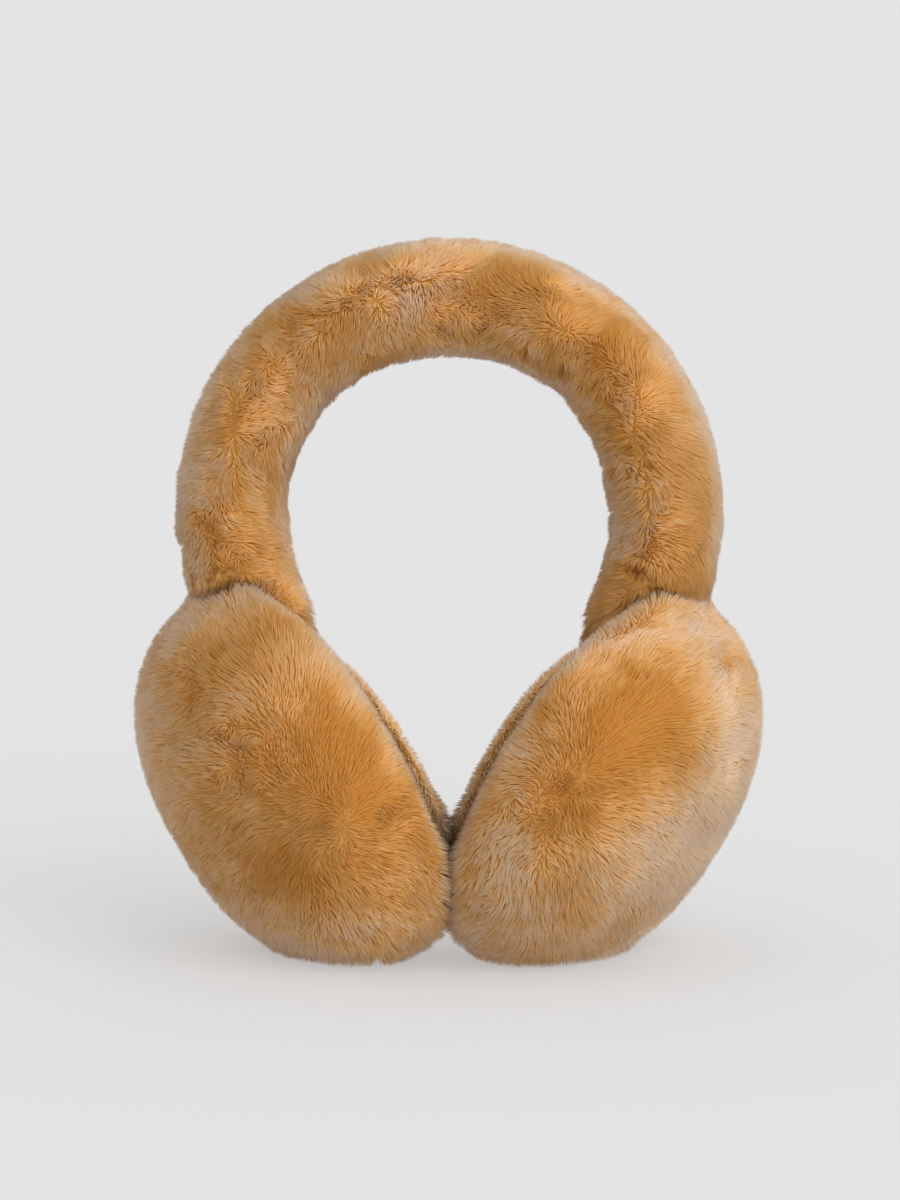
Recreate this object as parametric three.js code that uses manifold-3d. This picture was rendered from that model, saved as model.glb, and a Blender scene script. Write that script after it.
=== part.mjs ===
// Fur earmuffs: a stuffed sheepskin headband that bows over the head, with a puffy fur cup and a
// short-napped ear pad at each end. They stand on the flattened undersides of the two cups.
// Millimetres, +Z up, the bow in a plane of constant y, front towards -Y, left and right as seen
// from the front.
import * as THREE from "three";
import { ParametricGeometry } from "three/addons/geometries/ParametricGeometry.js";
import { mergeVertices } from "three/addons/utils/BufferGeometryUtils.js";
import Module from "manifold-3d";

// Headband
const bowRadius = 66.2;        // centre line of the sleeve
const bowCentreHeight = 135.2; // over the surface that the cups rest on
const bowEnd = -12;            // degrees, where the round bow turns into a neck
const bowSections = 13;        // sections along the round part
const sleeveThick = 18.3;      // half its thickness, towards the head
const sleeveDepth = 22;        // half its depth, from front to back
const sleeveSquareness = 2.2;  // 2 is an ellipse, more is squarer
const sleeveStacks = 66;       // steps along the sleeve, and the sides of its section
const sleeveSides = 26;
const endStacks = 3;           // steps in which each end closes

// Below the bow the sleeve narrows, turns flat to its cup and slips in between cup and pad.
const neckSections = [
  { x: 61.2, z: 111.5, thick: 17.5, depth: 22, twist: 8 },
  { x: 54.6, z: 101.5, thick: 14.5, depth: 20, twist: 22 },
  { x: 48.8, z: 93.5, thick: 11, depth: 16, twist: 32 },
];

// Creases (and swells, with a negative depth) in the sleeve: along is degrees round the bow from its
// right, around is degrees round the section from its outer side, towards the front.
const sleeveFolds = [
  { along: -7, around: 110, spread: 80, width: 3.5, depth: 2.2 },
  { along: 12, around: 170, spread: 60, width: 7, depth: -0.8 },
  { along: 48, around: 150, spread: 70, width: 9, depth: 0.9 },
  { along: 92, around: 200, spread: 100, width: 18, depth: -0.8 },
  { along: 135, around: 160, spread: 60, width: 8, depth: 0.8 },
  { along: 172, around: 60, spread: 70, width: 8, depth: 0.9 },
  { along: 189, around: 20, spread: 70, width: 3.5, depth: 1.8 },
];

// Cups: x and z place the middle of a cup's seam, lean tips its lower end inwards and toe turns its
// outer face to the front. long, wide and bulge are its half length, half width and height, and
// padShift is how far its pad sits towards the lower end.
const cupTable = [
  {
    side: "left", mirror: -1, x: 34.9, z: 60.4, lean: 28.7, toe: 33,
    long: 64.8, wide: 54, bulge: 54.2, squareness: 2.4, padShift: 8,
  },
  {
    side: "right", mirror: 1, x: 35, z: 59.4, lean: 30.6, toe: 33,
    long: 65.2, wide: 54, bulge: 53.6, squareness: 2.25, padShift: 4,
  },
];
const cupWidest = 11;          // height of the cup's widest section over its seam
const cupBackRounding = 0.45;  // powers of the section: less is squarer
const cupFrontRounding = 0.85;
const cupSides = 36;
const cupStacks = 18;

// Ear pads: half sizes, and half a section of the cushion, from the middle of its back, round the
// rim, to the middle of the gently crowned face that meets the ear.
const padLong = 46;
const padWide = 39;
const padThick = 8.7;
const padSection = [
  { share: 0, out: 0 },
  { share: 0.8, out: 0 },
  { share: 0.95, out: -1.3 },
  { share: 1, out: -3.6 },
  { share: 0.95, out: -5.9 },
  { share: 0.8, out: -7.6 },
  { share: 0.55, out: -8.3 },
  { share: 0.25, out: -8.6 },
  { share: 0, out: -padThick },
];
const padSides = 32;
const padStacks = 16;

const gap = 0.3;               // between pieces that touch
const reach = 400;             // larger than the whole object

const cupColor = 0xc18a50;
const padColor = 0xb98555;
const sleeveColor = 0xc08a4e;

const wasm = await Module();
wasm.setup();

const radians = THREE.MathUtils.degToRad;
const rounded = (value, power) => Math.sign(value) * Math.abs(value) ** power;

// A closed geometry as a solid for cutting, and a solid as a geometry again.
function solidOf(geometry) {
  const bare = geometry.clone();
  bare.deleteAttribute("normal");
  bare.deleteAttribute("uv");
  const merged = mergeVertices(bare, 1e-4);
  const triangles = [];
  for (let i = 0; i < merged.index.count; i += 3) {
    const [a, b, c] = merged.index.array.slice(i, i + 3);
    if (a !== b && b !== c && c !== a) triangles.push(a, b, c);
  }
  const mesh = new wasm.Mesh({
    numProp: 3,
    vertProperties: merged.attributes.position.array,
    triVerts: new Uint32Array(triangles),
  });
  return new wasm.Manifold(mesh);
}

function geometryOf(solid) {
  const { vertProperties, triVerts } = solid.getMesh();
  const geometry = new THREE.BufferGeometry();
  geometry.setAttribute("position", new THREE.BufferAttribute(vertProperties, 3));
  geometry.setIndex(new THREE.BufferAttribute(triVerts, 1));
  return geometry;
}

// The room of one cup: above the surface, and on its own side of the plane where the cups press.
function roomOf(cup) {
  const room = new THREE.BoxGeometry(reach, reach, reach);
  room.translate(cup.mirror * (reach / 2 + gap / 2), 0, reach / 2);
  return solidOf(room);
}

// Axes of a cup: out of its face, down its length and across its width.
function cupAxes({ mirror, lean, toe }) {
  const b = radians(lean);
  const t = radians(toe);
  const out = new THREE.Vector3(mirror * Math.cos(b) * Math.cos(t), -Math.sin(t), -Math.sin(b) * Math.cos(t));
  const down = new THREE.Vector3(-mirror * Math.sin(b), 0, -Math.cos(b));
  const across = new THREE.Vector3().crossVectors(out, down);
  return new THREE.Matrix4().makeBasis(out, down, across);
}

function placed(geometry, cup) {
  const place = cupAxes(cup).setPosition(cup.mirror * cup.x, 0, cup.z);
  return geometry.applyMatrix4(place);
}

// A round cushion form: section(v) gives its share of the outline and its height over the seam.
function cushion(cup, half, section, slices, stacks) {
  const power = 2 / cup.squareness;
  const surface = (u, v, target) => {
    const turn = 2 * Math.PI * u;
    const { share, out } = section(v);
    const down = half.long * share * rounded(Math.cos(turn), power) + half.shift;
    const across = half.wide * share * rounded(Math.sin(turn), power);
    target.set(out, down, across);
  };
  return placed(new ParametricGeometry(surface, slices, stacks), cup);
}

function cupForm(cup, grow) {
  const section = (v) => {
    const swing = Math.PI * (v - 0.5);
    if (swing < 0) {
      const out = cupWidest - (cupWidest + grow) * -Math.sin(swing);
      return { share: Math.max(Math.cos(swing), 0) ** cupBackRounding, out };
    }
    const out = cupWidest + (cup.bulge + grow - cupWidest) * Math.sin(swing);
    return { share: Math.max(Math.cos(swing), 0) ** cupFrontRounding, out };
  };
  const half = { long: cup.long + grow, wide: cup.wide + grow, shift: 0 };
  return solidOf(cushion(cup, half, section, cupSides, cupStacks));
}

function padForm(cup, grow) {
  const knots = padSection.map(({ share, out }) => new THREE.Vector2(share, out));
  const line = new THREE.SplineCurve(knots);
  const section = (v) => {
    const point = line.getPoint(1 - v);
    const out = point.y * (1 + (2 * grow) / padThick) + grow - gap;
    return { share: Math.min(Math.max(point.x, 0), 1), out };
  };
  const half = { long: padLong + grow, wide: padWide + grow, shift: cup.padShift };
  return solidOf(cushion(cup, half, section, padSides, padStacks));
}

// Stations of the sleeve from the left neck, over the bow, to the right neck.
function sleeveStations() {
  const bow = [];
  for (let i = 0; i < bowSections; i += 1) {
    const along = 180 - bowEnd + ((2 * bowEnd - 180) * i) / (bowSections - 1);
    const a = radians(along);
    const x = bowRadius * Math.cos(a);
    const z = bowCentreHeight + bowRadius * Math.sin(a);
    bow.push({ x, z, thick: sleeveThick, depth: sleeveDepth, twist: 0 });
  }
  const leftNeck = neckSections.map((row) => ({ ...row, x: -row.x })).reverse();
  return [...leftNeck, ...bow, ...neckSections];
}

function foldDepth(place, around) {
  let depth = 0;
  const along = THREE.MathUtils.radToDeg(Math.atan2(place.z - bowCentreHeight, place.x));
  for (const fold of sleeveFolds) {
    const offAlong = ((along - fold.along + 540) % 360) - 180;
    const offAround = ((around - fold.around + 540) % 360) - 180;
    const length = radians(offAlong) * bowRadius;
    depth += fold.depth * Math.exp(-((length / fold.width) ** 2) - (offAround / fold.spread) ** 2);
  }
  return depth;
}

function headbandForm() {
  const stations = sleeveStations();
  const path = new THREE.CatmullRomCurve3(stations.map(({ x, z }) => new THREE.Vector3(x, 0, z)));
  const sizes = new THREE.CatmullRomCurve3(
    stations.map(({ thick, depth, twist }) => new THREE.Vector3(thick, depth, twist)),
  );
  const surface = (u, v, target) => {
    const place = path.getPoint(v);
    const tangent = path.getTangent(v);
    const { x: thick, y: depth, z: twist } = sizes.getPoint(v);
    const outward = new THREE.Vector3(-tangent.z, 0, tangent.x);
    const forward = new THREE.Vector3(0, -1, 0);
    const turn = radians(twist);
    const across = outward.clone().multiplyScalar(Math.cos(turn)).addScaledVector(forward, Math.sin(turn));
    const deep = forward.clone().multiplyScalar(Math.cos(turn)).addScaledVector(outward, -Math.sin(turn));
    const toEnd = Math.min(Math.min(v, 1 - v) * (sleeveStacks / endStacks), 1);
    const closing = Math.sqrt(1 - (1 - toEnd) ** 2);
    const angle = 2 * Math.PI * u;
    const power = 2 / sleeveSquareness;
    const dent = foldDepth(place, THREE.MathUtils.radToDeg(angle));
    target
      .copy(place)
      .addScaledVector(across, closing * (thick - dent) * rounded(Math.cos(angle), power))
      .addScaledVector(deep, closing * (depth - dent) * rounded(Math.sin(angle), power));
  };
  return solidOf(new ParametricGeometry(surface, sleeveSides, sleeveStacks));
}

function furMesh(name, solid, color) {
  const material = new THREE.MeshStandardMaterial({ color, roughness: 0.95, metalness: 0 });
  const mesh = new THREE.Mesh(geometryOf(solid), material);
  mesh.name = name;
  return mesh;
}

const earmuffs = new THREE.Group();
let headband = headbandForm();
for (const cup of cupTable) {
  const room = roomOf(cup);
  const shell = cupForm(cup, 0).intersect(room);
  const pad = padForm(cup, 0).intersect(room);
  headband = headband.subtract(cupForm(cup, gap)).subtract(padForm(cup, gap));
  earmuffs.add(furMesh(`ear_cup_${cup.side}`, shell, cupColor));
  earmuffs.add(furMesh(`ear_pad_${cup.side}`, pad, padColor));
}
earmuffs.add(furMesh("headband_sleeve", headband, sleeveColor));

// The origin is under the middle of the whole, on the surface it stands on.
const box = new THREE.Box3().setFromObject(earmuffs);
const middle = box.getCenter(new THREE.Vector3());
earmuffs.position.set(-middle.x, -middle.y, -box.min.z);

export default earmuffs;
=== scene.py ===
import math
import bpy
import numpy as np
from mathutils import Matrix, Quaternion, Vector
from mathutils.bvhtree import BVHTree
from mathutils.kdtree import KDTree


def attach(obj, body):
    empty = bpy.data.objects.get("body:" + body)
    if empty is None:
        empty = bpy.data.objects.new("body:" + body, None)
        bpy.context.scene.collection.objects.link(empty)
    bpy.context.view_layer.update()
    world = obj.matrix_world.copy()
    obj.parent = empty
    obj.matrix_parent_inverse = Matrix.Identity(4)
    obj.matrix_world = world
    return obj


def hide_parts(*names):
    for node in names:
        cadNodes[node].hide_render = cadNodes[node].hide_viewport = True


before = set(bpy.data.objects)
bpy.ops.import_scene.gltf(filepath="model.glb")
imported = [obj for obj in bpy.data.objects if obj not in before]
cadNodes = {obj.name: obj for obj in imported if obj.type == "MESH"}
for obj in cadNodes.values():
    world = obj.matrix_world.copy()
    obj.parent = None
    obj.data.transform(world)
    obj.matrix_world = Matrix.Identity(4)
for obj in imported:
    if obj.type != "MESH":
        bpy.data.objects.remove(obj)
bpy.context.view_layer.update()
mm = 0.001
print("frame loaded:", sorted(cadNodes))

cameraSettings = {
    "elevation": 8.0,      # degrees above the floor
    "distance": 1.30,      # from the aim point, metres
    "tall": 0.3636,        # how much height the frame holds at that distance, metres
    "aim": (0.00045, 0.0, 0.11003),
    "sensor": 36.0,
    "nearAndFar": (0.05, 400.0),
}


def placeCamera(settings):
    data = bpy.data.cameras.new("studioCamera")
    camera = bpy.data.objects.new("studioCamera", data)
    bpy.context.scene.collection.objects.link(camera)
    tilt = math.radians(settings["elevation"])
    back = Vector((0.0, -math.cos(tilt), math.sin(tilt)))
    camera.location = Vector(settings["aim"]) + back * settings["distance"]
    camera.rotation_mode = "QUATERNION"
    camera.rotation_quaternion = (-back).to_track_quat("-Z", "Y")
    data.sensor_width = settings["sensor"]
    data.lens = settings["sensor"] * settings["distance"] / settings["tall"]
    data.clip_start, data.clip_end = settings["nearAndFar"]
    bpy.context.scene.camera = camera


placeCamera(cameraSettings)


def makeActive(piece):
    bpy.ops.object.select_all(action="DESELECT")
    piece.select_set(True)
    bpy.context.view_layer.objects.active = piece


def applyModifiers(piece):
    makeActive(piece)
    for name in [modifier.name for modifier in piece.modifiers]:
        bpy.ops.object.modifier_apply(modifier=name)


mergeDistance = 0.01 * mm


def copyOfNode(nodeName, pieceName):
    piece = bpy.data.objects.new(pieceName, cadNodes[nodeName].data.copy())
    piece.data.name = pieceName
    piece.data.materials.clear()
    bpy.context.scene.collection.objects.link(piece)
    makeActive(piece)
    bpy.ops.object.mode_set(mode="EDIT")
    bpy.ops.mesh.select_all(action="SELECT")
    bpy.ops.mesh.remove_doubles(threshold=mergeDistance)
    bpy.ops.object.mode_set(mode="OBJECT")
    return piece


def pointsOf(mesh):
    found = np.empty(len(mesh.vertices) * 3, np.float32)
    mesh.vertices.foreach_get("co", found)
    return found.reshape(-1, 3).astype(float)


def normalsOf(mesh):
    found = np.empty(len(mesh.vertices) * 3, np.float32)
    mesh.vertices.foreach_get("normal", found)
    return found.reshape(-1, 3).astype(float)


def trianglesOf(mesh):
    mesh.calc_loop_triangles()
    found = np.empty(len(mesh.loop_triangles) * 3, np.int32)
    mesh.loop_triangles.foreach_get("vertices", found)
    return found.reshape(-1, 3)


def unit(vectors):
    return vectors / np.maximum(np.linalg.norm(vectors, axis=1, keepdims=True), 1e-12)


def remeshed(piece, voxel, smoothing):
    shell = piece.modifiers.new("evenShell", "REMESH")
    shell.mode = "VOXEL"
    shell.voxel_size = voxel
    ease = piece.modifiers.new("easeShell", "SMOOTH")
    ease.factor = 0.5
    ease.iterations = smoothing
    applyModifiers(piece)


# the noise grid is turned, so that it doesn't follow the object's own axes
noiseTurn = np.array([[0.36, 0.48, -0.80], [-0.80, 0.60, 0.0], [0.48, 0.64, 0.60]])


noiseSide = 32        # cells along the repeating grid
noiseShift = 512.0    # keeps every place on the grid's positive side
noiseSpan = 1.5


def smoothNoise(points, size, seed, channels=1):
    # values drift smoothly over the given size, from minus the span to the span
    shape = (noiseSide, noiseSide, noiseSide, channels)
    table = np.random.default_rng(seed).uniform(-1, 1, shape)
    place = points @ noiseTurn.T / size + noiseShift
    cell = np.floor(place).astype(int)
    part = place - cell
    part = part * part * (3 - 2 * part)
    total = np.zeros((len(points), channels))
    for dx in (0, 1):
        for dy in (0, 1):
            for dz in (0, 1):
                share = part[:, 0] if dx else 1 - part[:, 0]
                share = share * (part[:, 1] if dy else 1 - part[:, 1])
                share = share * (part[:, 2] if dz else 1 - part[:, 2])
                at = (cell + (dx, dy, dz)) % noiseSide
                total += share[:, None] * table[at[:, 0], at[:, 1], at[:, 2]]
    return total * noiseSpan


pileFinish = {
    # the first colour is painted shade for the creases, darker than any hair
    "creaseShade": (0.330, 0.150, 0.035, 1.0),
    "deep": (0.700, 0.350, 0.086, 1.0),
    "middle": (0.890, 0.545, 0.245, 1.0),
    "pale": (0.985, 0.780, 0.650, 1.0),
    "rootTint": (0.92, 0.76, 0.42, 1.0),
    "roughness": 0.62,
    "sheen": 0.12,
    "sheenRoughness": 0.45,
    "sheenTint": (1.0, 0.84, 0.70, 1.0),
    "specular": 0.12,
    "rootReach": 2.4,          # the higher, the nearer the tip the root tint carries
    "dryAtRoot": 0.72,         # roughness at the root and at the tip
    "dryAtTip": 0.56,
}

# the tones between which each colour takes over from the one before
toneSteps = [("Deep", 0.0, 0.12), ("Middle", 0.12, 0.50), ("Pale", 0.50, 1.0)]


def newGroup(name, inputs, outputs):
    group = bpy.data.node_groups.new(name, "ShaderNodeTree")
    for label, kind, value in inputs:
        socket = group.interface.new_socket(label, in_out="INPUT", socket_type=kind)
        socket.default_value = value
    for label, kind in outputs:
        group.interface.new_socket(label, in_out="OUTPUT", socket_type=kind)
    start = group.nodes.new("NodeGroupInput")
    end = group.nodes.new("NodeGroupOutput")
    start.location = (-900, 0)
    end.location = (500, 0)
    return group, start, end


def addNode(tree, kind, place, **values):
    node = tree.nodes.new(kind)
    node.location = place
    for name, value in values.items():
        setattr(node, name, value)
    return node


def mixColours(tree, place, factor, first, second, blend="MIX"):
    node = addNode(tree, "ShaderNodeMix", place, data_type="RGBA", blend_type=blend)
    tree.links.new(factor, node.inputs["Factor"])
    tree.links.new(first, node.inputs["A"])
    tree.links.new(second, node.inputs["B"])
    return node.outputs["Result"]


def buildPileShade():
    # colour of a hair from its tone (painted crease shade, deep, middle, pale) and the place along
    # it
    colourKind, floatKind = "NodeSocketColor", "NodeSocketFloat"
    group, start, end = newGroup(
        "pileShade",
        [
            ("Tone", floatKind, 0.5),
            ("Along", floatKind, 0.5),
            ("Crease Shade", colourKind, pileFinish["creaseShade"]),
            ("Deep", colourKind, pileFinish["deep"]),
            ("Middle", colourKind, pileFinish["middle"]),
            ("Pale", colourKind, pileFinish["pale"]),
            ("Root Tint", colourKind, pileFinish["rootTint"]),
        ],
        [("Colour", colourKind), ("Dry", floatKind)],
    )
    colour = start.outputs["Crease Shade"]
    for step, (label, low, high) in enumerate(toneSteps):
        share = addNode(group, "ShaderNodeMapRange", (-650 + step * 220, 300))
        share.inputs["From Min"].default_value = low
        share.inputs["From Max"].default_value = high
        group.links.new(start.outputs["Tone"], share.inputs["Value"])
        place = (-550 + step * 220, 50)
        colour = mixColours(group, place, share.outputs["Result"], colour, start.outputs[label])
    curve = addNode(group, "ShaderNodeMath", (-650, -200), operation="POWER")
    curve.inputs[1].default_value = pileFinish["rootReach"]
    group.links.new(start.outputs["Along"], curve.inputs[0])
    tinted = addNode(group, "ShaderNodeMix", (100, -100), data_type="RGBA", blend_type="MULTIPLY")
    tinted.inputs["Factor"].default_value = 1.0
    group.links.new(colour, tinted.inputs["A"])
    group.links.new(start.outputs["Root Tint"], tinted.inputs["B"])
    both = mixColours(group, (300, 0), curve.outputs[0], tinted.outputs["Result"], colour)
    dry = addNode(group, "ShaderNodeMapRange", (-50, -300))
    dry.inputs["To Min"].default_value = pileFinish["dryAtRoot"]
    dry.inputs["To Max"].default_value = pileFinish["dryAtTip"]
    group.links.new(start.outputs["Along"], dry.inputs["Value"])
    group.links.new(both, end.inputs["Colour"])
    group.links.new(dry.outputs["Result"], end.inputs["Dry"])
    return group


skinFinish = {
    "roughness": 0.8,
    "sheen": 0.3,
    "sheenRoughness": 0.5,
    "specular": 0.15,
    "tuftShare": 0.55,         # how much of the grain is tufts, and the rest is hairs
    "grainRange": (0.35, 0.65),
    "reliefStrength": 0.7,
    "reliefDepth": 0.0008,
}


def buildPileGrain():
    # tufted grain of the dense underfur, from two sizes of noise; its colour runs from painted
    # shade between the tufts to painted light on them
    colourKind, floatKind, vectorKind = "NodeSocketColor", "NodeSocketFloat", "NodeSocketVector"
    group, start, end = newGroup(
        "pileGrain",
        [
            ("Place", vectorKind, (0.0, 0.0, 0.0)),
            ("Tuft Scale", floatKind, 260.0),
            ("Hair Scale", floatKind, 1500.0),
            ("Shade", colourKind, (0.22, 0.075, 0.014, 1.0)),
            ("Light", colourKind, (0.50, 0.23, 0.07, 1.0)),
        ],
        [("Colour", colourKind), ("Height", floatKind)],
    )
    tuft = addNode(group, "ShaderNodeTexNoise", (-650, 200))
    tuft.inputs["Detail"].default_value = 3.0
    tuft.inputs["Roughness"].default_value = 0.6
    hair = addNode(group, "ShaderNodeTexNoise", (-650, -150))
    hair.inputs["Detail"].default_value = 2.0
    group.links.new(start.outputs["Place"], tuft.inputs["Vector"])
    group.links.new(start.outputs["Place"], hair.inputs["Vector"])
    group.links.new(start.outputs["Tuft Scale"], tuft.inputs["Scale"])
    group.links.new(start.outputs["Hair Scale"], hair.inputs["Scale"])
    blend = addNode(group, "ShaderNodeMath", (-350, 0), operation="MULTIPLY_ADD")
    blend.inputs[1].default_value = 1.0 - skinFinish["tuftShare"]
    scaled = addNode(group, "ShaderNodeMath", (-350, 200), operation="MULTIPLY")
    scaled.inputs[1].default_value = skinFinish["tuftShare"]
    group.links.new(tuft.outputs["Fac"], scaled.inputs[0])
    group.links.new(hair.outputs["Fac"], blend.inputs[0])
    group.links.new(scaled.outputs[0], blend.inputs[2])
    spread = addNode(group, "ShaderNodeMapRange", (-150, 0))
    spread.inputs["From Min"].default_value = skinFinish["grainRange"][0]
    spread.inputs["From Max"].default_value = skinFinish["grainRange"][1]
    group.links.new(blend.outputs[0], spread.inputs["Value"])
    colour = mixColours(
        group, (150, 100), spread.outputs["Result"], start.outputs["Shade"], start.outputs["Light"]
    )
    group.links.new(colour, end.inputs["Colour"])
    group.links.new(blend.outputs[0], end.inputs["Height"])
    return group


pileShade = buildPileShade()
pileGrain = buildPileGrain()


def bareMaterial(name, roughness):
    material = bpy.data.materials.new(name)
    material.use_nodes = True
    tree = material.node_tree
    surface = tree.nodes["Principled BSDF"]
    surface.inputs["Roughness"].default_value = roughness
    return material, tree, surface


def furMaterial(name):
    material, tree, surface = bareMaterial(name, pileFinish["roughness"])
    surface.inputs["Sheen Weight"].default_value = pileFinish["sheen"]
    surface.inputs["Sheen Roughness"].default_value = pileFinish["sheenRoughness"]
    surface.inputs["Sheen Tint"].default_value = pileFinish["sheenTint"]
    surface.inputs["Specular IOR Level"].default_value = pileFinish["specular"]
    own = addNode(tree, "ShaderNodeUVMap", (-900, 0), uv_map="furTone")
    split = addNode(tree, "ShaderNodeSeparateXYZ", (-700, 0))
    shade = addNode(tree, "ShaderNodeGroup", (-450, 0), node_tree=pileShade)
    tree.links.new(own.outputs["UV"], split.inputs["Vector"])
    tree.links.new(split.outputs["X"], shade.inputs["Tone"])
    tree.links.new(split.outputs["Y"], shade.inputs["Along"])
    tree.links.new(shade.outputs["Colour"], surface.inputs["Base Color"])
    tree.links.new(shade.outputs["Dry"], surface.inputs["Roughness"])
    return material


def skinMaterial(name, tuftScale, shade, light):
    material, tree, surface = bareMaterial(name, skinFinish["roughness"])
    surface.inputs["Sheen Weight"].default_value = skinFinish["sheen"]
    surface.inputs["Sheen Roughness"].default_value = skinFinish["sheenRoughness"]
    surface.inputs["Specular IOR Level"].default_value = skinFinish["specular"]
    place = addNode(tree, "ShaderNodeTexCoord", (-900, 0))
    grain = addNode(tree, "ShaderNodeGroup", (-500, 0), node_tree=pileGrain)
    grain.inputs["Tuft Scale"].default_value = tuftScale
    grain.inputs["Shade"].default_value = shade
    grain.inputs["Light"].default_value = light
    relief = addNode(tree, "ShaderNodeBump", (-250, -250))
    relief.inputs["Strength"].default_value = skinFinish["reliefStrength"]
    relief.inputs["Distance"].default_value = skinFinish["reliefDepth"]
    tree.links.new(place.outputs["Object"], grain.inputs["Place"])
    tree.links.new(grain.outputs["Colour"], surface.inputs["Base Color"])
    tree.links.new(grain.outputs["Height"], relief.inputs["Height"])
    tree.links.new(relief.outputs["Normal"], surface.inputs["Normal"])
    return material


# pile depth, how far pressure may swell the skin, mesh size and height of the lumps, all in mm
skinSettings = {
    "headband_sleeve": {
        "piece": "band_underfur", "slot": "band_fur",
        "pile": 2.5, "cap": 1.2, "voxel": 4.0, "tufts": 0.5, "fill": 0.8,
    },
    "ear_cup_left": {
        "piece": "cup_underfur_left", "slot": "cup_fur",
        "pile": 2.5, "cap": 1.2, "voxel": 4.0, "tufts": 0.4, "fill": 0.85,
    },
    "ear_cup_right": {
        "piece": "cup_underfur_right", "slot": "cup_fur",
        "pile": 2.5, "cap": 1.2, "voxel": 4.0, "tufts": 0.4, "fill": 0.85,
    },
    "ear_pad_left": {
        "piece": "pad_underfur_left", "slot": "pad_fur",
        "pile": 1.5, "cap": 0.6, "voxel": 3.0, "tufts": 0.3, "fill": 0.7,
    },
    "ear_pad_right": {
        "piece": "pad_underfur_right", "slot": "pad_fur",
        "pile": 1.5, "cap": 0.6, "voxel": 3.0, "tufts": 0.3, "fill": 0.7,
    },
}
skinSmoothing = 4
swellFrames = 20
swellPressure = 4.0
swellAllowance = 0.7         # how much of the cap the skin is drawn in by beforehand
skinPressReach = 6.0 * mm    # how near another piece must lie for the skin to stand nearer to it
skinPressLeft = 1.1 * mm     # and how much pile is left over it there
skinPressShare = 0.8

tuftTexture = bpy.data.textures.new("tuftLumps", "CLOUDS")
tuftTexture.noise_scale = 0.007
tuftTexture.noise_depth = 2


def treeOf(nodeName):
    mesh = cadNodes[nodeName].data
    return BVHTree.FromPolygons(
        [tuple(point) for point in pointsOf(mesh)], trianglesOf(mesh).tolist()
    )


envelopes = {name: treeOf(name) for name in cadNodes}


def pressSkin(skin, nodeName, depth):
    # where another piece lies close, the skin stands nearer to its own outer form
    others = [tree for name, tree in envelopes.items() if name != nodeName]
    points, normals = pointsOf(skin.data), normalsOf(skin.data)
    for index, point in enumerate(points):
        spot = Vector(point)
        gaps = [tree.find_nearest(spot, skinPressReach + depth)[3] for tree in others]
        gaps = [gap for gap in gaps if gap is not None]
        if gaps:
            close = 1.0 - max(0.0, min(gaps) - depth) / skinPressReach
            outer = envelopes[nodeName].ray_cast(spot, Vector(normals[index]), 3.0 * depth)[3]
            if outer is not None:
                step = max(0.0, outer - skinPressLeft)
                points[index] += normals[index] * step * close * skinPressShare
    skin.data.vertices.foreach_set("co", points.astype(np.float32).ravel())
    skin.data.update()


def swell(skin, cap):
    # pressure fills the skin out like a stuffed cushion, and no point moves past the cap
    start = pointsOf(skin.data)
    cloth = skin.modifiers.new("swell", "CLOTH")
    cloth.settings.use_pressure = True
    cloth.settings.uniform_pressure_force = swellPressure
    cloth.settings.effector_weights.gravity = 0.0
    cloth.point_cache.frame_start = 1
    cloth.point_cache.frame_end = swellFrames
    scene = bpy.context.scene
    for step in range(1, swellFrames + 1):
        scene.frame_set(step)
    applyModifiers(skin)
    moved = pointsOf(skin.data) - start
    far = np.linalg.norm(moved, axis=1, keepdims=True)
    moved = moved * np.minimum(1.0, cap / np.maximum(far, 1e-9))
    skin.data.vertices.foreach_set("co", (start + moved).astype(np.float32).ravel())
    skin.data.update()
    scene.frame_set(1)


def makeSkin(nodeName, settings):
    skin = copyOfNode(nodeName, settings["piece"])
    remeshed(skin, settings["voxel"] * mm, skinSmoothing)
    drawIn = skin.modifiers.new("drawIn", "DISPLACE")
    drawIn.strength = -(settings["pile"] + settings["cap"] * swellAllowance) * mm
    drawIn.mid_level = 0.0
    applyModifiers(skin)
    swell(skin, settings["cap"] * mm)
    finer = skin.modifiers.new("finer", "SUBSURF")
    finer.levels = 1
    finer.render_levels = 1
    lumps = skin.modifiers.new("tufts", "DISPLACE")
    lumps.texture = tuftTexture
    lumps.texture_coords = "LOCAL"
    lumps.strength = settings["tufts"] * mm
    lumps.mid_level = 0.5
    applyModifiers(skin)
    pressSkin(skin, nodeName, settings["pile"] * mm)
    makeActive(skin)
    bpy.ops.object.shade_smooth()
    return skin


# tuft scale, shade between the tufts and light on them
bandGrain = (240.0, (0.36, 0.165, 0.030, 1.0), (0.52, 0.260, 0.062, 1.0))
cupGrain = (300.0, (0.40, 0.185, 0.034, 1.0), (0.56, 0.285, 0.070, 1.0))
padGrain = (420.0, (0.34, 0.160, 0.030, 1.0), (0.48, 0.245, 0.060, 1.0))

skinLooks = {
    "band_fur": skinMaterial("bandUnderfur", *bandGrain),
    "cup_fur": skinMaterial("cupUnderfur", *cupGrain),
    "pad_fur": skinMaterial("padUnderfur", *padGrain),
}

for nodeName, settings in skinSettings.items():
    skin = makeSkin(nodeName, settings)
    skin.data.materials.append(skinLooks[settings["slot"]])
    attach(skin, "root")
    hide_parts(nodeName)
    print("skin:", skin.name, len(skin.data.polygons), "faces")

frontTilt = math.tan(math.radians(cameraSettings["elevation"]))
frontAxis = unit(np.array([[0.0, -1.0, frontTilt]]))[0]

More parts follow.
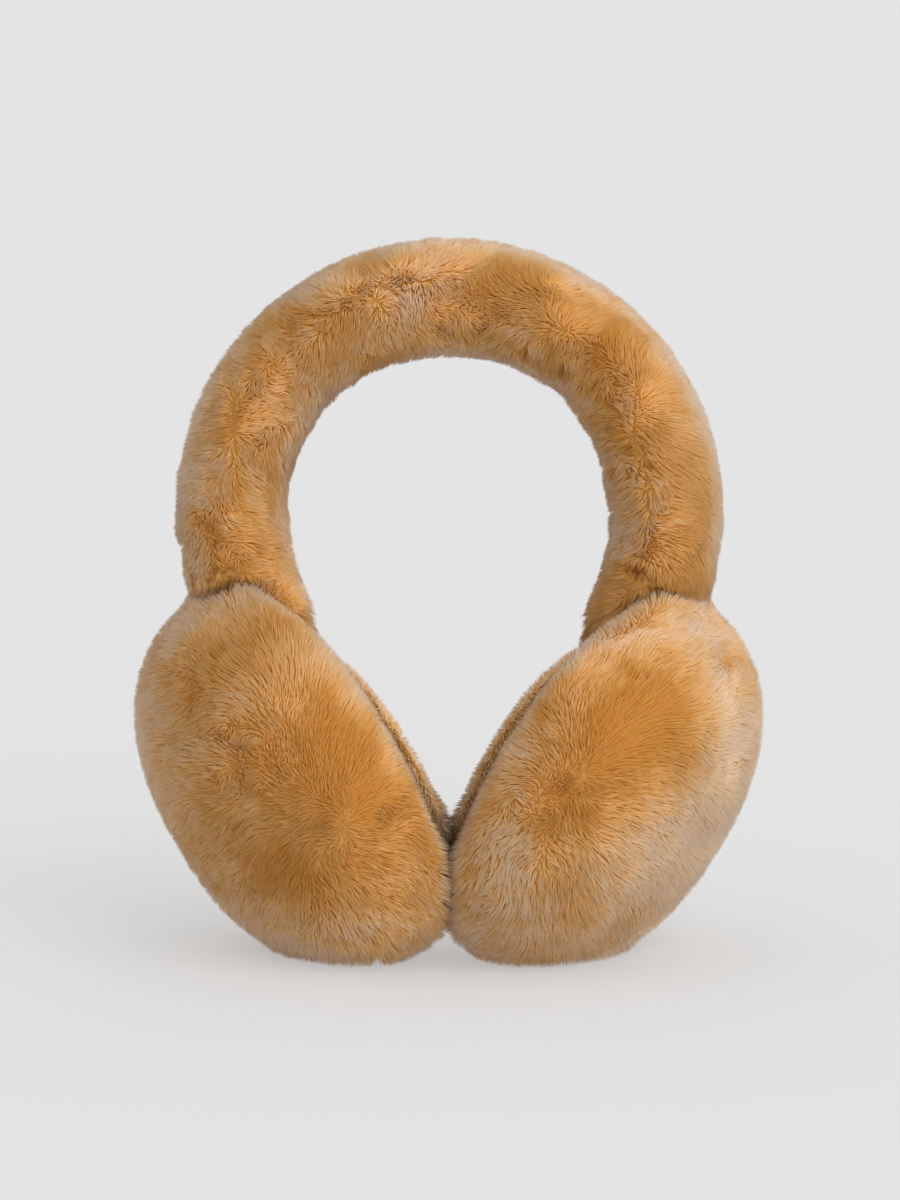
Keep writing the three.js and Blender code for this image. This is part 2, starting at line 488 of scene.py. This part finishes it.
pileHabits = {
    "shellVoxel": 2.5,           # the eased shell that the hairs are scattered over (mm)
    "shellSmoothing": 3,
    "shellBack": 0.8,            # how far below it the CAD surface may lie, and above it (mm)
    "shellReach": 7.0,
    "spare": 1.25,               # more hairs are scattered than kept, as covered ones are dropped
    "coveredDepth": 1.2,         # a hair is covered where another solid lies this near (mm)
    "coveredReach": 6.0,         # and reaches this far to all sides (mm)
    "partLean": 0.35,            # how far hairs lean apart at a crease
    "bend": 0.12,                # how much a leaning tip drops, as a share of the pile
    "sideDroop": 2.5,            # how much more the pile hangs where it faces sideways
    "calmLean": 0.45,            # how much flatter the calm patches lie
    "calmRange": (0.12, 1.6),
    "rimFrom": 0.35,             # how far a place turns from the front before a painted sheen pales it
    "rimOver": 0.5,
    "fineTone": (5.0, 0.08),     # size (mm) and amount of the small drifts of tone
    "hairTone": 0.08,            # how much tone changes from hair to hair and tuft to tuft
    "tuftTone": 0.06,
    "hairRange": (0.4, 1.5),     # how far calm and ruffled patches may change that
    "tuftDrift": 18.0,           # over what distance the tufts grow tighter and looser (mm)
    "tuftPull": (0.65, 0.5),     # how tight they are on average, and how far that drifts
    "tuftPullRange": (0.15, 1.1),
    "tuftRuffled": 1.3,          # how much tighter they can get in a ruffled patch
    "tuftSink": 0.1,             # how much each gathering shortens the pile (mm)
    "tuftHeights": (0.8, 0.6),   # share of the raggedness that each size of tuft has
    "hairHeight": 0.12,          # how much heights change from hair to hair (mm)
    "leastTone": 0.13,           # only the painted shade in creases is darker than this
    "toneRange": (0.01, 0.99),
    "floorCushion": 2.2,         # hair flattens within this height of the floor (mm)
    "floorLeast": 0.04,
    "laceShare": (0.25, 0.75),   # how far single tips reach into the other side's fur
    "drawShare": (0.5, 1.0),     # how far single tips are drawn over a slit
    "drawBelow": 0.5,            # how steeply below its own face a tip may be drawn
    "widths": (0.8, 1.2),        # how far single hairs differ from the stated thickness
}

# lengths are mm. Swirl and ruffle are size and amount of the nap's turns, tufts are size and
# pull of each gathering, and leans are the least and most lean, as a share of the pile.
# What both cups or both pads have in common comes first
cupPile = {
    "slot": "cup_fur", "strands": 65000, "pile": 3.6, "buried": 1.0, "thick": 0.32,
    "swirl": (26.0, 0.45), "ruffle": (6.5, 0.34), "stray": 0.08, "droop": 0.10,
    "tufts": ((3.6, 0.30), (1.5, 0.32)), "ragged": 0.15, "fuzz": 0.20, "soft": 0.2,
    "laced": 4.5, "leans": (0.7, 1.2), "toneSize": 20.0, "toneSpread": 0.15, "rim": 0.36,
}
padPile = {
    "slot": "pad_fur", "strands": 22000, "pile": 2.2, "buried": 0.6, "thick": 0.28,
    "swirl": (20.0, 0.30), "ruffle": (5.0, 0.30), "stray": 0.08, "droop": 0.10,
    "tufts": ((3.0, 0.25), (1.5, 0.35)), "ragged": 0.10, "fuzz": 0.24, "soft": 0.2,
    "laced": 4.0, "leans": (0.5, 1.0), "toneSize": 16.0, "toneSpread": 0.14,
}

furSettings = {
    "headband_sleeve": {
        "pieces": {"band_fur_left": "left", "band_fur_right": "right"},
        "slot": "band_fur", "strands": 122000, "pile": 3.6, "buried": 1.0, "thick": 0.33,
        "swirl": (22.0, 0.62), "ruffle": (8.0, 0.44), "stray": 0.08, "droop": 0.22,
        "tufts": ((5.5, 0.28), (2.0, 0.36)), "ragged": 0.22, "fuzz": 0.25, "soft": 0.2,
        "comb": {"centre": (0.0, 146.0), "radius": 62.0, "fade": 13.0, "amount": 0.32},
        "leans": (0.7, 1.2),
        "toneSize": 22.0, "tone": 0.53, "toneSpread": 0.18, "seed": 11, "rim": 0.34,
        "closes": {
            # how far the fur laps over the neighbour, and how wide a slit it closes (mm)
            "ear_cup_left": (1.4, 7.0), "ear_cup_right": (1.4, 7.0),
            "ear_pad_left": (0.3, 10.0), "ear_pad_right": (0.3, 10.0),
        },
        "creases": [
            # from, to, width, depth (mm), tone shift of the painted shade
            (51, 122, 65, 114, 2.2, 1.5, -0.35), (-78, 115, -60, 118, 2.2, 1.2, -0.30),
            (-78, 135, -71, 128, 2.0, 1.2, -0.30), (-66, 171, -62, 122, 3.0, 0.6, -0.12),
            (-56, 190, -63, 171, 2.6, 0.6, -0.12), (-21, 205, -16, 203, 1.6, 1.2, -0.30),
            (-22, 179, -15, 182, 3.0, 0.8, -0.30), (16, 188, 34, 179, 2.8, 0.7, -0.18),
            (46, 171, 58, 150, 2.8, 0.7, -0.18), (-75, 155, -70, 147, 1.8, 0.9, -0.22),
        ],
        "tails": [
            # across, up, half width, pull across, pull up (mm)
            (-43.0, 104.0, 5.2, 4.3, -5.4), (46.0, 103.0, 5.8, -6.0, -5.4),
        ],
        "patches": [
            # across, up, half width, half height (mm), tone (painted light and shade as well as
            # the fur's own tone), calm
            (-63, 142, 9, 20, -0.13, 0.3), (-52, 175, 12, 12, -0.08, 0.5),
            (-39, 206, 10, 7, 0.35, 0.0), (-66, 190, 9, 10, 0.10, -0.2),
            (-78, 150, 7, 24, 0.10, -0.4), (-15, 203, 9, 6, 0.22, -0.4),
            (5, 210, 16, 6, -0.05, 0.4), (22, 205, 13, 9, -0.18, 0.8),
            (46, 190, 13, 12, -0.20, 0.9), (64, 165, 10, 16, -0.16, 0.9),
            (73, 141, 8, 18, -0.18, 0.9), (70, 118, 12, 8, -0.12, 0.6),
            (24, 217, 14, 5, 0.40, 0.3), (42, 211, 10, 6, 0.45, 0.4),
            (57, 200, 8, 7, 0.55, 0.4), (68, 188, 7, 8, 0.55, 0.4),
            (77, 174, 5, 9, 0.50, 0.4), (82, 158, 4, 11, 0.45, 0.3),
            (84, 140, 4, 12, 0.35, 0.3), (34, 182, 12, 6, 0.00, -0.8),
            (50, 160, 8, 13, -0.02, -0.8), (55, 140, 7, 12, 0.05, -0.8),
            (56, 128, 8, 8, 0.12, -0.5), (0, 190, 20, 6, -0.15, -0.4),
        ],
    },
    "ear_cup_left": {
        **cupPile, "pieces": {"cup_fur_left": "all"}, "tone": 0.48, "seed": 23,
        "comb": {"centre": (-49.0, 48.0), "radius": 0.0, "fade": 26.0, "amount": 0.50},
        "closes": {"headband_sleeve": (1.8, 5.5), "ear_pad_left": (0.0, 14.0)},
        "patches": [
            (-56, 95, 20, 9, -0.22, 0.6), (-30, 60, 13, 26, -0.46, 0.9),
            (-35, 93, 12, 8, 0.60, 0.6), (-26, 80, 7, 10, 0.60, 0.6),
            (-17, 66, 5, 10, 0.50, 0.5), (-48, 28, 16, 9, -0.30, 0.0),
            (-33, 8, 34, 6, 0.16, 0.0), (-88, 74, 7, 34, 0.20, 0.0),
            (-70, 60, 12, 26, 0.06, -0.4), (-44, 54, 12, 16, -0.20, 0.0),
        ],
    },
    "ear_cup_right": {
        **cupPile, "pieces": {"cup_fur_right": "all"}, "tone": 0.50, "seed": 37,
        "comb": {"centre": (33.0, 52.0), "radius": 0.0, "fade": 26.0, "amount": 0.50},
        "closes": {"headband_sleeve": (1.8, 5.5), "ear_pad_right": (0.0, 14.0)},
        "patches": [
            (61, 102, 24, 7, 0.40, 0.2), (55, 73, 16, 18, -0.70, 0.9),
            (84, 66, 9, 30, 0.42, 0.2), (85, 90, 6, 8, -0.25, 0.4),
            (73, 34, 20, 18, 0.68, 0.3), (38, 48, 15, 14, -0.36, 0.0),
            (15, 30, 12, 18, 0.20, -0.4), (30, 8, 30, 6, 0.12, 0.0),
            (20, 56, 7, 20, 0.44, -0.3),
        ],
    },
    "ear_pad_left": {
        **padPile, "pieces": {"pad_fur_left": "all"}, "tone": 0.88, "seed": 41, "rim": 0.25,
        "comb": {"centre": (-30.0, 60.0), "radius": 0.0, "fade": 16.0, "amount": 0.5},
        "closes": {"headband_sleeve": (0.6, 9.0), "ear_cup_left": (0.0, 7.0)},
    },
    "ear_pad_right": {
        **padPile, "pieces": {"pad_fur_right": "all"}, "tone": 0.86, "seed": 53, "rim": 0.20,
        "comb": {"centre": (30.0, 60.0), "radius": 0.0, "fade": 16.0, "amount": 0.5},
        "closes": {"headband_sleeve": (0.6, 9.0), "ear_cup_right": (0.0, 7.0)},
    },
}


def areasOf(corners):
    edge, other = corners[:, 1] - corners[:, 0], corners[:, 2] - corners[:, 0]
    return np.linalg.norm(np.cross(edge, other), axis=1) / 2


def scatter(nodeName, count, seed):
    # evenly spread points and normals over an eased copy of the CAD solid
    shell = copyOfNode(nodeName, "shellCopy")
    remeshed(shell, pileHabits["shellVoxel"] * mm, pileHabits["shellSmoothing"])
    mesh = shell.data
    points, normals = pointsOf(mesh), normalsOf(mesh)
    corners = trianglesOf(mesh)
    bpy.data.objects.remove(shell)
    bpy.data.meshes.remove(mesh)
    sides = points[corners]
    area = areasOf(sides)
    total = np.cumsum(area)
    order = np.arange(count)
    chosen = np.searchsorted(total, (order + 0.5) / count * total[-1])
    chosen = np.minimum(chosen, len(area) - 1)
    # steps of the plastic number, which never bunch or line up
    first = (order * 0.7548776662 + seed * 0.137) % 1
    second = (order * 0.5698402910 + seed * 0.311) % 1
    flip = first + second > 1
    first = np.where(flip, 1 - first, first)
    second = np.where(flip, 1 - second, second)
    share = np.stack([1 - first - second, first, second], 1)[:, :, None]
    return (
        (points[corners[chosen]] * share).sum(1),
        unit((normals[corners[chosen]] * share).sum(1)),
    )


def isInside(tree, spot):
    near, normal = tree.find_nearest(spot, 2.0 * pileHabits["coveredReach"] * mm)[:2]
    return near is not None and (spot - near).dot(normal) < 0.0


def hiddenByNeighbours(nodeName, points, normals):
    # true well inside a face that another solid covers, where no hair can show
    others = [tree for name, tree in envelopes.items() if name != nodeName]
    hidden = np.zeros(len(points), bool)
    for index, (point, normal) in enumerate(zip(points, normals)):
        outwards = Vector(normal)
        spot = Vector(point) + outwards * (pileHabits["coveredDepth"] * mm)
        for tree in others:
            if isInside(tree, spot):
                sideways = outwards.orthogonal().normalized()
                sideways *= pileHabits["coveredReach"] * mm
                third = Quaternion(outwards, math.tau / 3)
                hidden[index] = True
                for step in range(3):
                    if not isInside(tree, spot + sideways):
                        hidden[index] = False
                    sideways = third @ sideways
                break
    return hidden


def seenFromFront(points):
    # millimetres across and up, as the front is seen
    return np.stack([points[:, 0], points[:, 2] + points[:, 1] * frontTilt], 1) / mm


def facingFront(normals):
    # 1 on the front, 0.4 at the very side and 0 just behind it
    return np.clip(0.4 - normals[:, 1] * 2.0, 0.0, 1.0)


def patchFields(points, normals, patches):
    # soft-edged patches on the front: how much paler each hair is there, as painted light and
    # shade as well as the fur's own tone, and how much calmer
    seen = seenFromFront(points)
    facing = facingFront(normals)
    paintedLightAndTone, calmer = np.zeros(len(points)), np.zeros(len(points))
    for across, up, halfWidth, halfHeight, tone, calm in patches:
        far = ((seen[:, 0] - across) / halfWidth) ** 2 + ((seen[:, 1] - up) / halfHeight) ** 2
        paintedLightAndTone += tone * np.exp(-far) * facing
        calmer += calm * np.exp(-far) * facing
    return paintedLightAndTone, calmer


def creaseField(points, normals, creases):
    # dents along short lines on the front: how far the tips sink and lean apart, and how much
    # painted shade darkens them
    seen = seenFromFront(points)
    facing = facingFront(normals)
    sink, tone = np.zeros(len(points)), np.zeros(len(points))
    apart = np.zeros((len(points), 3))
    for startAcross, startUp, endAcross, endUp, width, depth, shade in creases:
        start, end = np.array([startAcross, startUp]), np.array([endAcross, endUp])
        line = end - start
        share = np.clip((seen - start) @ line / (line @ line), 0.0, 1.0)
        away = seen - (start + share[:, None] * line)
        far = np.linalg.norm(away, axis=1)
        weight = np.exp(-((far / width) ** 2)) * facing
        sink += weight * depth * mm
        tone += weight * shade
        push = away / np.maximum(far, 0.3)[:, None]
        push = push * (weight * pileHabits["partLean"])[:, None]
        apart[:, 0] += push[:, 0]
        apart[:, 2] += push[:, 1]
    return sink, apart, tone


def drawnOut(points, normals, tips, tails):
    # the ends of the band taper into longer fur, which runs on down between cup and pad
    seen = seenFromFront(points)
    facing = facingFront(normals)
    for across, up, width, pullAcross, pullUp in tails:
        far = np.linalg.norm(seen - np.array([across, up]), axis=1)
        weight = np.exp(-((far / width) ** 2)) * facing * mm
        tips[:, 0] += weight * pullAcross
        tips[:, 2] += weight * pullUp
    return tips


def combField(points, comb):
    # the way the pile is combed: away from a crown, or both ways from a ring's middle line
    away = seenFromFront(points) - np.array(comb["centre"])
    far = np.linalg.norm(away, axis=1)
    push = (far - comb["radius"]) / comb["fade"]
    push = np.clip(push, -1.0, 1.0) * comb["amount"] / np.maximum(far, 0.1)
    return np.stack([away[:, 0] * push, np.zeros(len(points)), away[:, 1] * push], 1)


def tuftOf(points, cell, density, rng):
    # index of the tuft centre that each hair belongs to
    each = max(2, int(density * math.pi * cell * cell / 4))
    centres = rng.permutation(len(points))[: max(8, len(points) // each)]
    tree = KDTree(len(centres))
    for centre in centres:
        tree.insert(points[centre], int(centre))
    tree.balance()
    return np.array([tree.find(point)[1] for point in points])


def pressedDown(heights):
    # tips that end close to the floor lie right down on it
    gap = heights / mm
    cushion = pileHabits["floorCushion"]
    gap = np.where(gap < cushion, np.maximum(gap, 0.0) ** 2 / cushion, gap)
    return np.maximum(gap, pileHabits["floorLeast"]) * mm


def interlaced(across, side, reach, rng):
    # where the two sides press on each other, tips reach a little into the other one's fur
    gap = across * side / mm
    close = np.clip(1.0 - gap / reach, 0.0, 1.0)
    share = rng.uniform(*pileHabits["laceShare"], len(across))
    return side * (gap - close * share * reach) * mm


def drawnTo(neighbour, lap, slit, tips, normals, rng):
    # fur closes the slit where two solids meet: it reaches for the other and stands up there
    tree = envelopes[neighbour]
    share = rng.uniform(*pileHabits["drawShare"], len(tips))
    for index, tip in enumerate(tips):
        near, normal, _, far = tree.find_nearest(Vector(tip), slit * mm)
        if near is None:
            continue
        offset = near - Vector(tip)
        outwards = Vector(normals[index])
        below = offset.dot(outwards) <= -pileHabits["drawBelow"] * far
        if offset.dot(normal) < 0.0 and not below:
            close = 1.0 - far / (slit * mm)
            rise = outwards * (lap * mm * close * share[index])
            tips[index] = Vector(tip) + offset * (close * share[index]) + rise
    return tips


def reachOf(nodeName, points, normals):
    # how far the CAD surface stands above the eased shell, most of all at sharp rims
    tree = envelopes[nodeName]
    back, most = pileHabits["shellBack"] * mm, pileHabits["shellReach"] * mm
    reach = np.zeros(len(points))
    for index, (start, normal) in enumerate(zip(points - normals * back, normals)):
        far = tree.ray_cast(Vector(start), Vector(normal), most)[3]
        if far is not None:
            reach[index] = far - back
    return reach


def heldInside(nodeName, tips, allowed):
    # tips stay within the CAD solid, apart from the fuzz that stands a little proud
    tree = envelopes[nodeName]
    for index, tip in enumerate(tips):
        spot, normal = tree.find_nearest(Vector(tip))[:2]
        offset = Vector(tip) - spot
        if offset.dot(normal) > allowed[index]:
            tips[index] = spot + offset.normalized() * allowed[index]
    return tips


def leanField(points, normals, settings, apart, calm, side, rng):
    # which way each hair leans and how far, from swirls, ruffles, strays, droop and comb
    seed = settings["seed"]
    size, amount = settings["swirl"]
    lean = smoothNoise(points, size * mm, seed + 1, 3) * amount
    size, amount = settings["ruffle"]
    lean += smoothNoise(points, size * mm, seed + 2, 3) * amount * calm
    lean += rng.normal(0, settings["stray"], lean.shape) * np.minimum(calm, 1.0) + apart
    lean[:, 2] -= settings["droop"] * (1.0 + pileHabits["sideDroop"] * side)
    lean += combField(points, settings["comb"])
    lean -= (lean * normals).sum(1, keepdims=True) * normals
    far = np.linalg.norm(lean, axis=1, keepdims=True)
    least, most = settings["leans"]
    least = least + pileHabits["calmLean"] * np.clip(1.0 - calm, 0.0, 1.0)
    lean *= np.clip(far, least, most) / np.maximum(far, 1e-9)
    return lean, np.clip(far, least, most)[:, 0]


def toneField(points, settings, paintedLightAndTone, calm, side, rng):
    # from dark to pale: by patch, where painted light and shade join the fur's own tone, by a
    # painted sheen towards the rim, and by drifts of two sizes
    seed = settings["seed"]
    tone = settings["tone"] + paintedLightAndTone
    # places that turn away from the front are painted paler, a painted sheen at the rim
    rim = (side - pileHabits["rimFrom"]) / pileHabits["rimOver"]
    tone += settings["rim"] * np.clip(rim, 0.0, 1.0)
    tone += smoothNoise(points, settings["toneSize"] * mm, seed + 3)[:, 0] * settings["toneSpread"]
    size, amount = pileHabits["fineTone"]
    tone += smoothNoise(points, size * mm, seed + 4)[:, 0] * amount
    single = rng.normal(0, pileHabits["hairTone"], len(points))
    return tone + single * np.clip(calm[:, 0], *pileHabits["hairRange"])


def gathered(points, normals, tips, tone, settings, calm, rng):
    # tips draw together in tufts of two sizes, each tuft with its own height and tone
    count = len(points)
    for level, (cell, pull) in enumerate(settings["tufts"]):
        centre = tuftOf(points, cell * mm, settings["perArea"], rng)
        drift = smoothNoise(points, pileHabits["tuftDrift"] * mm, settings["seed"] + 7 + level)
        average, change = pileHabits["tuftPull"]
        strength = np.clip(average + change * drift[:, 0], *pileHabits["tuftPullRange"])[:, None]
        strength = strength * np.minimum(calm, pileHabits["tuftRuffled"]) * pull
        tips += (tips[centre] - tips) * strength
        height = rng.normal(0, 1, count)[centre]
        height = height * settings["ragged"] * mm * calm[:, 0]
        height = height * pileHabits["tuftHeights"][level] - pileHabits["tuftSink"] * mm
        tips += normals * height[:, None]
        tone += rng.normal(0, pileHabits["tuftTone"], count)[centre] * calm[:, 0]
    height = rng.normal(0, pileHabits["hairHeight"], count) * calm[:, 0] * mm
    tips += normals * height[:, None]
    return tips, tone


def keptStrands(nodeName, settings, rng):
    count = settings["strands"]
    points, normals = scatter(nodeName, int(count * pileHabits["spare"]), settings["seed"])
    keep = ~hiddenByNeighbours(nodeName, points, normals)
    points, normals = points[keep], normals[keep]
    if len(points) > count:
        pick = np.sort(rng.permutation(len(points))[:count])
        points, normals = points[pick], normals[pick]
    return points, normals


def strandField(nodeName, settings, rng):
    points, normals = keptStrands(nodeName, settings, rng)
    pile = settings["pile"] * mm
    sink, apart, paintedCreaseShade = creaseField(points, normals, settings.get("creases", []))
    paintedLightAndTone, calmer = patchFields(points, normals, settings.get("patches", []))
    calm = np.clip(1.0 - calmer, *pileHabits["calmRange"])[:, None]
    side = 1.0 - np.abs(normals @ frontAxis)
    lean, far = leanField(points, normals, settings, apart, calm, side, rng)
    rise = reachOf(nodeName, points, normals) - far ** 2 * pileHabits["bend"] * pile
    tips = points + lean * pile + normals * rise[:, None]
    roots = points - normals * (pile + settings["buried"] * mm)
    tone = toneField(points, settings, paintedLightAndTone, calm, side, rng)
    tips, tone = gathered(points, normals, tips, tone, settings, calm, rng)
    fuzz = np.abs(rng.normal(0, settings["fuzz"], len(points))) * mm
    tips -= normals * sink[:, None]
    tips = heldInside(nodeName, tips, fuzz)
    tips = drawnOut(points, normals, tips, settings.get("tails", []))
    for neighbour, (lap, slit) in settings["closes"].items():
        tips = drawnTo(neighbour, lap, slit, tips, normals, rng)
    tips[:, 2] = pressedDown(tips[:, 2])
    if "left" in nodeName:
        tips[:, 0] = interlaced(tips[:, 0], -1, settings["laced"], rng)
    if "right" in nodeName:
        tips[:, 0] = interlaced(tips[:, 0], 1, settings["laced"], rng)
    # the painted shade of the creases goes on after the least tone
    tone = np.maximum(tone, pileHabits["leastTone"]) + paintedCreaseShade
    return roots, tips, normals, np.clip(tone, *pileHabits["toneRange"])


def softNormals(mesh, normals, share):
    # each hair is lit partly as the pile around it faces, which keeps the fur soft
    own = normalsOf(mesh).reshape(-1, 4, 3)
    soft = own * (1.0 - share) + normals[:, None, :] * share
    mesh.normals_split_custom_set_from_vertices(unit(soft.reshape(-1, 3)).tolist())


def strandMesh(name, roots, tips, normals, tone, settings, rng):
    # each hair is a three-sided spike, open only at its buried root
    count = len(roots)
    along = unit(tips - roots)
    helper = np.where(np.abs(along[:, 2:3]) < 0.9, (0.0, 0.0, 1.0), (1.0, 0.0, 0.0))
    across = unit(np.cross(along, helper))
    other = np.cross(along, across)
    turn = rng.uniform(0, math.tau, count)
    width = settings["thick"] * mm * rng.uniform(*pileHabits["widths"], count)
    ring = []
    for corner in range(3):
        angle = (turn + corner * math.tau / 3)[:, None]
        ring.append(roots + (across * np.cos(angle) + other * np.sin(angle)) * width[:, None])
    places = np.stack([*ring, tips], 1).reshape(-1, 3)
    base = np.arange(count)[:, None] * 4
    faces = np.stack(
        [
            np.concatenate([base, base + 1, base + 3], 1),
            np.concatenate([base + 1, base + 2, base + 3], 1),
            np.concatenate([base + 2, base, base + 3], 1),
        ],
        1,
    ).reshape(-1)
    mesh = bpy.data.meshes.new(name)
    mesh.vertices.add(count * 4)
    mesh.vertices.foreach_set("co", places.astype(np.float32).ravel())
    mesh.loops.add(count * 9)
    mesh.loops.foreach_set("vertex_index", faces.astype(np.int32))
    mesh.polygons.add(count * 3)
    mesh.polygons.foreach_set("loop_start", np.arange(0, count * 9, 3, dtype=np.int32))
    mesh.update(calc_edges=True)
    # across the map is the tone and up it the way along the hair
    halfTone = 0.002
    left = np.stack([tone - halfTone, np.zeros(count)], 1)
    right = np.stack([tone + halfTone, np.zeros(count)], 1)
    end = np.stack([tone, np.ones(count)], 1)
    spots = np.stack([left, right, end] * 3, 1).astype(np.float32).ravel()
    for layerName in ("furTone", "OFBake"):
        layer = mesh.uv_layers.new(name=layerName, do_init=False)
        layer.uv.foreach_set("vector", spots)
    mesh.validate()
    piece = bpy.data.objects.new(name, mesh)
    bpy.context.scene.collection.objects.link(piece)
    makeActive(piece)
    bpy.ops.object.shade_smooth()
    softNormals(mesh, normals, settings["soft"])
    return piece


furLooks = {
    "band_fur": furMaterial("bandFur"),
    "cup_fur": furMaterial("cupFur"),
    "pad_fur": furMaterial("padFur"),
}

for nodeName, settings in furSettings.items():
    cadMesh = cadNodes[nodeName].data
    surfaceArea = areasOf(pointsOf(cadMesh)[trianglesOf(cadMesh)]).sum()
    settings["perArea"] = settings["strands"] / surfaceArea
    rng = np.random.default_rng(settings["seed"])
    roots, tips, normals, tone = strandField(nodeName, settings, rng)
    for pieceName, side in settings["pieces"].items():
        chosen = np.ones(len(roots), bool)
        if side == "left":
            chosen = roots[:, 0] < 0
        if side == "right":
            chosen = roots[:, 0] >= 0
        fur = strandMesh(
            pieceName, roots[chosen], tips[chosen], normals[chosen], tone[chosen], settings, rng
        )
        fur.data.materials.append(furLooks[settings["slot"]])
        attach(fur, "root")
        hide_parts(nodeName)
        print("fur:", pieceName, len(fur.data.polygons), "triangles")

studio = {
    "floorSide": 400.0,
    "floorColour": (0.386, 0.386, 0.386, 1.0),
    "floorGlow": 0.388,        # the paper is lit from below as well, so shadows stay light
    "surround": 0.775,         # even light from all round
    "keyStrength": 1.65,
    "keySpread": 60.0,         # degrees across, for soft shadows
    "keyFrom": (0.60, -0.85, 0.50),
}


def buildStudio(settings):
    bpy.ops.mesh.primitive_plane_add(size=settings["floorSide"], location=(0, 0, 0))
    floor = bpy.context.object
    floor.name = "studioFloor"
    material, tree, surface = bareMaterial("palePaper", 0.9)
    surface.inputs["Base Color"].default_value = settings["floorColour"]
    surface.inputs["Specular IOR Level"].default_value = 0.0
    surface.inputs["Emission Color"].default_value = (1.0, 1.0, 1.0, 1.0)
    surface.inputs["Emission Strength"].default_value = settings["floorGlow"]
    floor.data.materials.append(material)
    world = bpy.data.worlds.new("softRoom")
    bpy.context.scene.world = world
    world.use_nodes = True
    sky = world.node_tree.nodes["Background"]
    sky.inputs["Color"].default_value = (1.0, 1.0, 1.0, 1.0)
    sky.inputs["Strength"].default_value = settings["surround"]
    light = bpy.data.lights.new("keyLight", "SUN")
    light.energy = settings["keyStrength"]
    light.angle = math.radians(settings["keySpread"])
    lamp = bpy.data.objects.new("keyLight", light)
    lamp.rotation_mode = "QUATERNION"
    lamp.rotation_quaternion = Vector(settings["keyFrom"]).to_track_quat("Z", "Y")
    bpy.context.scene.collection.objects.link(lamp)
    bpy.context.scene.view_settings.view_transform = "Standard"


buildStudio(studio)
print("studio ready")
